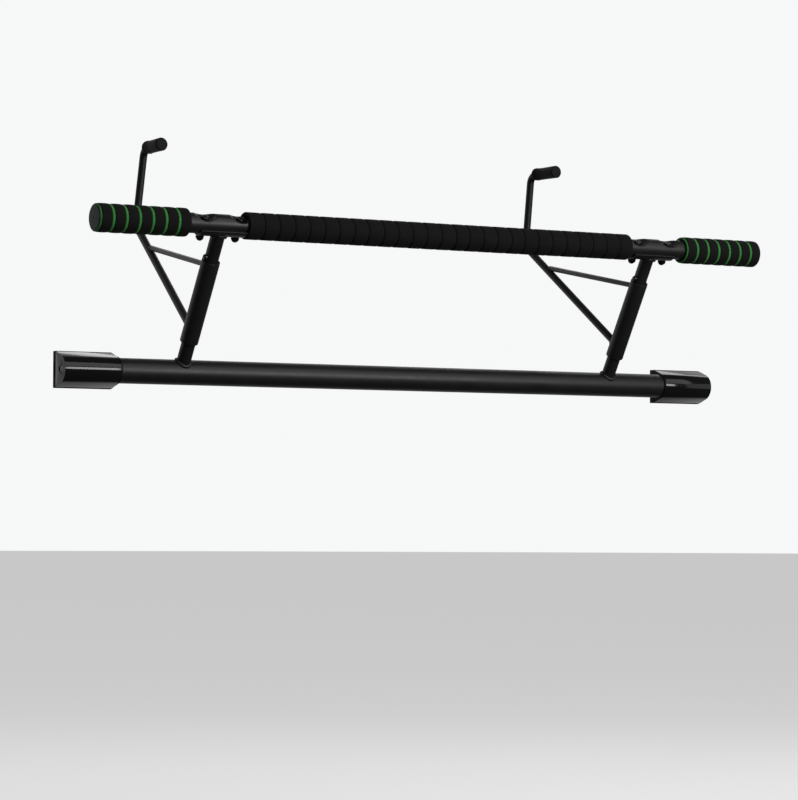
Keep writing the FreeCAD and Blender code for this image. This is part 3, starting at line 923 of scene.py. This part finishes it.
# %% [markdown]
# ## The plugs
#
# A moulded plug closes each end of the grip bar, and its flange is wide enough to cover the
# end of the foam. A quarter of an ellipse, turned, gives it a very low dome, and a shallow
# dimple in the middle is where the mould was filled.

# %% Plugs
PLUG_FLANGE = 0.8 * MM
PLUG_DOME = 0.5 * MM
PLUG_EDGE = 0.35 * MM
PLUG_RIM = 2.8 * MM
PLUG_SPIGOT = 18.0 * MM
GATE_MARK = 1.6 * MM
GATE_DEPTH = 0.4 * MM


def plug(side):
    outward = ALONG * SIDES[side]
    start = Vector((SIDES[side] * grip_half, grip_axis.y, grip_axis.z))
    spigot = grip_radius - GRIP_WALL - BORE_GAP
    flange = grip_radius + PLUG_RIM
    turns = [math.pi / 2 * step / 16 for step in range(15)]
    dome_foot = flange - PLUG_EDGE
    dome = [(PLUG_FLANGE + PLUG_DOME * math.sin(turn), dome_foot * math.cos(turn)) for turn in turns]
    floor = PLUG_FLANGE + PLUG_DOME - GATE_DEPTH
    outline = [(-PLUG_SPIGOT, 0), (-PLUG_SPIGOT, spigot * 0.96), (-PLUG_SPIGOT + MM, spigot), (0, spigot),
               (0, flange), (PLUG_FLANGE - PLUG_EDGE, flange), *dome]
    outline += [(floor + 0.38 * MM, GATE_MARK), (floor, GATE_MARK * 0.8), (floor, 0)]
    bm = bmesh.new()
    lathe(bm, start, outward, outline)
    piece("plug_" + side, bm, "root", pitted.material, "grip_plug_" + side, sharp=30)


for side in SIDES:
    plug(side)

# %% [markdown]
# ## Bolts, nuts, button, spring and liner
#
# These small turned and bent parts already have their real shape in the CAD model: socket
# heads, hexagons, domes. Remodelling them would add nothing, so they only get their finish.

# %% Dress the kept nodes
dress("saddle_bolts", fastener.material)
dress("dome_nuts", fastener.material)
for side in SIDES:
    dress("stop_button_" + side, button_steel.material)
    dress("button_spring_" + side, spring_steel.material)
    dress("sleeve_liner_" + side, nylon.material)

# %% [markdown]
# ## The sleeves
#
# A sleeve is the hinge of each hook frame: a tube that turns and slides on the post. It is a
# lathe outline like the lower bar, with edges a little rounder, since a hand meets them.

# %% Sleeves
SLEEVE_RADIUS = 11.71 * MM
SLEEVE_WALL = 1.5 * MM


def sleeve(side):
    length = sleeve_high - sleeve_low
    bm = bmesh.new()
    lathe(bm, post_foot(side) + post_up * sleeve_low, post_up, rounded(
        [(0, SLEEVE_RADIUS), (length, SLEEVE_RADIUS), (length, SLEEVE_RADIUS - SLEEVE_WALL),
         (0, SLEEVE_RADIUS - SLEEVE_WALL)], 0.6 * MM))
    piece("sleeve_" + side + "_tube", bm, "hook_frame_" + side, coat.material,
          "sleeve_" + side)


for side in SIDES:
    sleeve(side)

# %% [markdown]
# ## The hook arms
#
# An arm is one steel rod with two bends: back from the sleeve, up behind the wall, and
# forward again over the door trim. A circle is pushed along each straight run and spun through
# each bend, which is just how a rod bender works. The corners follow from the slope of the
# post, how far the arm toes in, and the height of the trim.

# %% Corners of an arm
ROD_RADIUS = 5.0 * MM
ARM_ABOVE_SLEEVE_END = 16.2 * MM
BEND_OFFSET = Vector((0, 150.0 * MM, 200.0 * MM)) - lower_axis
TOE_IN = 19.0 * MM
UPRIGHT_LEAN = math.radians(10)
TRIM_TOP = 290.5 * MM
BOOT_SOLE = 8.0 * MM
FOOT_LENGTH = 55.0 * MM
BEND_RADII = (20.0 * MM, 14.0 * MM)


def arm_corners(side):
    """At the sleeve, the lower bend, the upper bend, and the end of the foot."""
    foot = post_foot(side)
    toe = math.asin(TOE_IN / BEND_OFFSET.dot(post_back))
    back = post_back * math.cos(toe) - ALONG * (SIDES[side] * math.sin(toe))
    root = foot + post_up * (sleeve_low + ARM_ABOVE_SLEEVE_END)
    bend = foot + post_up * BEND_OFFSET.dot(post_up) + back * BEND_OFFSET.dot(post_back)
    level = (back * post_up.z - post_up * back.z).normalized()
    upward = level.cross(level.cross(back)).normalized()
    upward = upward if upward.z > 0 else -upward
    upright = upward * math.cos(UPRIGHT_LEAN) - level * math.sin(UPRIGHT_LEAN)
    top = bend + upright * ((TRIM_TOP + BOOT_SOLE - bend.z) / upright.z)
    return [root, bend, top, top - level * FOOT_LENGTH]


# %% Bend the arms
def bent_rod(bm, start, corners, radius, count=28, steps=12):
    edges = ring(bm, start, corners[1] - corners[0], radius, count)
    here = start
    for index, bend_radius in enumerate(BEND_RADII, 1):
        before = (corners[index] - corners[index - 1]).normalized()
        after = (corners[index + 1] - corners[index]).normalized()
        turn = before.angle(after)
        setback = bend_radius * math.tan(turn / 2)
        arc_start = corners[index] - before * setback
        edges = push(bm, edges, arc_start - here)
        axis = before.cross(after).normalized()
        verts = list({vert for edge in edges for vert in edge.verts})
        spun = bmesh.ops.spin(bm, geom=verts + edges, cent=arc_start + axis.cross(before) * bend_radius,
                              axis=axis, angle=turn, steps=steps, use_merge=False, use_duplicate=False)
        edges = loop_edges([part for part in spun["geom_last"] if isinstance(part, bmesh.types.BMVert)])
        here = corners[index] + after * setback
    edges = push(bm, edges, corners[-1] - here)
    ends = [vert.co for edge in edges for vert in edge.verts]
    print("rod ends within", round((sum(ends, Vector()) / len(ends) - corners[-1]).length, 6))
    close_ends(bm)


ARM_BEAD = 1.9 * MM
IN_WALL = 10.4 * MM


def hook_arm(side):
    corners = arm_corners(side)
    foot = post_foot(side)
    towards = (corners[1] - corners[0]).normalized()
    bm = bmesh.new()
    bent_rod(bm, corners[0] + towards * IN_WALL, corners, ROD_RADIUS)
    weld(bm, corners[0] + towards * (2 * SLEEVE_RADIUS), -towards, ROD_RADIUS,
         (foot, post_up, SLEEVE_RADIUS), ARM_BEAD, 11, SIDES[side] + 8)
    piece("hook_arm_" + side + "_rod", bm, "hook_frame_" + side, coat.material,
          "hook_arm_" + side)


for side in SIDES:
    hook_arm(side)

# %% [markdown]
# ## The braces
#
# A thinner rod ties the sleeve's top to the arm. It is cut square, laid on the arm and welded,
# so its end stands up from the arm like a step. The weld there isn't a ring but a blob at each
# side of the brace's end: a ball drawn out along the brace, with its skin made lumpy.

# %% Braces
BRACE_RADIUS = 3.5 * MM
BRACE_BELOW_TOP = 6.8 * MM
BRACE_ALONG_ARM = 0.785
BRACE_BEAD = 1.3 * MM
BLOB = 1.7 * MM


def blob(bm, centre, along, size, seed):
    """A lump of weld that is longer along one direction."""
    turn = along.to_track_quat("Z", "Y").to_matrix().to_4x4()
    longer = Matrix.Diagonal((1.0, 1.0, 1.7, 1.0))
    made = bmesh.ops.create_icosphere(bm, subdivisions=3, radius=size,
                                      matrix=Matrix.Translation(centre) @ turn @ longer)
    for vert in made["verts"]:
        lump = noise.noise(vert.co * 600 + Vector((seed, 0, 0)))
        vert.co = centre + (vert.co - centre) * (1 + 0.12 * lump)


def brace(side):
    corners = arm_corners(side)
    foot = post_foot(side)
    run = corners[1] - corners[0]
    root = foot + post_up * (sleeve_high - BRACE_BELOW_TOP)
    meeting = corners[0] + run * BRACE_ALONG_ARM
    towards = (meeting - root).normalized()
    end = meeting - towards * (ROD_RADIUS / math.sin(towards.angle(run)))
    bm = bmesh.new()
    start = root + towards * (IN_WALL / math.sin(towards.angle(post_up)))
    last = push(bm, ring(bm, start, towards, BRACE_RADIUS, 24), end - start)
    close_ends(bm)
    soften(bm, last, 0.5 * MM, segments=2)
    weld(bm, root + towards * (2.4 * SLEEVE_RADIUS), -towards, BRACE_RADIUS,
         (foot, post_up, SLEEVE_RADIUS), BRACE_BEAD, 9, SIDES[side] + 12)
    sideways = run.cross(towards).normalized()
    for sign in (-1, 1):
        blob(bm, end + sideways * (sign * BRACE_RADIUS * 0.7) - towards * BLOB, towards, BLOB, sign)
    piece("brace_" + side + "_rod", bm, "hook_frame_" + side, coat.material,
          "brace_" + side)


for side in SIDES:
    brace(side)

# %% [markdown]
# ## The boots
#
# A rubber boot is pushed over each foot so that it can't mark the trim. It is a closed sleeve
# with a rolled mouth, and flat underneath. The flat is made by lifting every point that falls
# below the trim's top up to it, which is what pressing soft rubber on a ledge does.

# %% Boots
BOOT_RADIUS = 9.0 * MM
BOOT_END_WALL = 4.0 * MM
BOOT_NOSE = 2.4 * MM


def boot(side):
    corners = arm_corners(side)
    forward = (corners[3] - corners[2]).normalized()
    turn = (corners[2] - corners[1]).angle(forward)
    start = corners[2] + forward * (BEND_RADII[1] * math.tan(turn / 2))
    length = (corners[3] - start).length + BOOT_END_WALL
    bore, floor = ROD_RADIUS + BORE_GAP, length - BOOT_END_WALL + BORE_GAP
    waist, heel = BOOT_RADIUS - 0.6 * MM, BOOT_RADIUS - 0.3 * MM
    outline = [(0, bore), *shoulder(0, BOOT_RADIUS, 1, 1.2 * MM)]
    outline += [(4 * MM, BOOT_RADIUS), (5 * MM, waist), (length * 0.5, waist), (length - 2 * BOOT_NOSE, heel)]
    outline += shoulder(length, heel, -1, BOOT_NOSE, 6)
    outline += [(length, 0), (floor, 0), (floor, bore)]
    bm = bmesh.new()
    lathe(bm, start, forward, outline)
    for vert in bm.verts:
        vert.co.z = max(vert.co.z, TRIM_TOP)
    made = piece("boot_" + side, bm, "hook_frame_" + side, boot_rubber.material,
                 "hook_boot_" + side)


for side in SIDES:
    boot(side)

# %% [markdown]
# ## Studio
#
# Black things are seen by what they reflect, so the room matters more than the lamps. Here it
# is bright in one part, a wall behind the bar, and dim elsewhere, so edges get a light line and
# faces stay black. One softbox low in front and to the right puts a long highlight along the
# bars, and a wide one high in front lifts their tops. A strip behind shows in the flat flanks
# of the caps, and a small box at the far right lights the ends that face it. The camera itself
# sees one even pale tone, and the floor is kept out of the reflections.

# %% Floor, surroundings and lights
FLOOR_DROP = 0.62
FLOOR_RADIUS = 30.0
bm = bmesh.new()
bmesh.ops.create_circle(bm, cap_ends=True, radius=FLOOR_RADIUS, segments=96,
                        matrix=Matrix.Translation((0, 0, -FLOOR_DROP)))
floor_mesh = bpy.data.meshes.new("floor")
bm.to_mesh(floor_mesh)
bm.free()
floor = bpy.data.objects.new("floor", floor_mesh)
bpy.context.scene.collection.objects.link(floor)
pale = Finish("floor_paint", Roughness=0.9, Emission_Color=grey(0.9), Emission_Strength=0.5)
pale.vary("Base Color", pale.mix(pale.speckle(3.0), grey(0.80), grey(0.84)))
floor_mesh.materials.append(pale.material)
floor.visible_glossy = False
floor.visible_diffuse = False

ROOM_FRONT, ROOM_BACK = 0.05, 0.70
WALL_DIRECTION = (0.0, 1.0, 0.0)
world = bpy.data.worlds.new("pale_room")
world.use_nodes = True
nodes, links = world.node_tree.nodes, world.node_tree.links
seen = nodes["Background"]
seen.inputs["Color"].default_value = (0.93, 0.935, 0.94, 1.0)
lighting = nodes.new("ShaderNodeBackground")
facing = nodes.new("ShaderNodeVectorMath")
facing.operation = "DOT_PRODUCT"
facing.inputs[1].default_value = WALL_DIRECTION
links.new(nodes.new("ShaderNodeTexCoord").outputs["Generated"], facing.inputs[0])
fall = nodes.new("ShaderNodeMapRange")
for socket, value in (("From Min", 0.30), ("From Max", 0.80), ("To Min", ROOM_FRONT), ("To Max", ROOM_BACK)):
    fall.inputs[socket].default_value = value
links.new(facing.outputs["Value"], fall.inputs["Value"])
links.new(fall.outputs["Result"], lighting.inputs["Strength"])
either = nodes.new("ShaderNodeMixShader")
links.new(nodes.new("ShaderNodeLightPath").outputs["Is Camera Ray"], either.inputs[0])
links.new(lighting.outputs[0], either.inputs[1])
links.new(seen.outputs[0], either.inputs[2])
links.new(either.outputs[0], nodes["World Output"].inputs["Surface"])
bpy.context.scene.world = world


def softbox(name, place, target, width, height, power):
    lamp = bpy.data.lights.new(name, "AREA")
    lamp.shape = "RECTANGLE"
    lamp.size = width
    lamp.size_y = height
    lamp.energy = power
    made = bpy.data.objects.new(name, lamp)
    made.location = place
    made.visible_camera = False
    made.rotation_euler = (Vector(target) - Vector(place)).to_track_quat("-Z", "Y").to_euler()
    bpy.context.scene.collection.objects.link(made)


softbox("front_box", (0.84, -2.7, 0.42), (0, -0.1, 0.1), 1.7, 0.7, 28)
softbox("top_box", (0.3, -2.2, 1.9), (0, 0, 0.1), 4.4, 2.0, 30)
softbox("back_strip", (1.0, 1.35, 1.15), (0, 0, 0.05), 2.4, 0.5, 5)
softbox("side_fill", (2.9, -2.2, 0.3), (0.3, 0, 0.1), 1.6, 1.8, 5)

# %% [markdown]
# ## Camera
#
# The object is looked at from the front left and a little below, through a long lens, so its
# bars stay nearly parallel. Yaw, pitch and roll are turned into the camera's three axes.

# %% Camera
CAMERA_PLACE = Vector((-2.1166, -3.5402, -0.1728))
YAW, PITCH, ROLL = math.radians(30.97), math.radians(2.02), math.radians(0.2)
LENS = 141.12
SENSOR = 36.0


def camera_axes():
    ahead = Vector((math.sin(YAW) * math.cos(PITCH), math.cos(YAW) * math.cos(PITCH), math.sin(PITCH)))
    right = Vector((math.cos(YAW), -math.sin(YAW), 0))
    up = right.cross(ahead)
    rolled_right = right * math.cos(ROLL) + up * math.sin(ROLL)
    rolled_up = up * math.cos(ROLL) - right * math.sin(ROLL)
    return rolled_right, rolled_up, -ahead


lens = bpy.data.cameras.new("camera")
lens.lens = LENS
lens.sensor_width = SENSOR
camera = bpy.data.objects.new("camera", lens)
camera.matrix_world = Matrix.Translation(CAMERA_PLACE) @ Matrix(camera_axes()).transposed().to_4x4()
bpy.context.scene.collection.objects.link(camera)
bpy.context.scene.camera = camera
bpy.context.scene.view_settings.view_transform = "Standard"

# %% The end
bpy.context.view_layer.update()
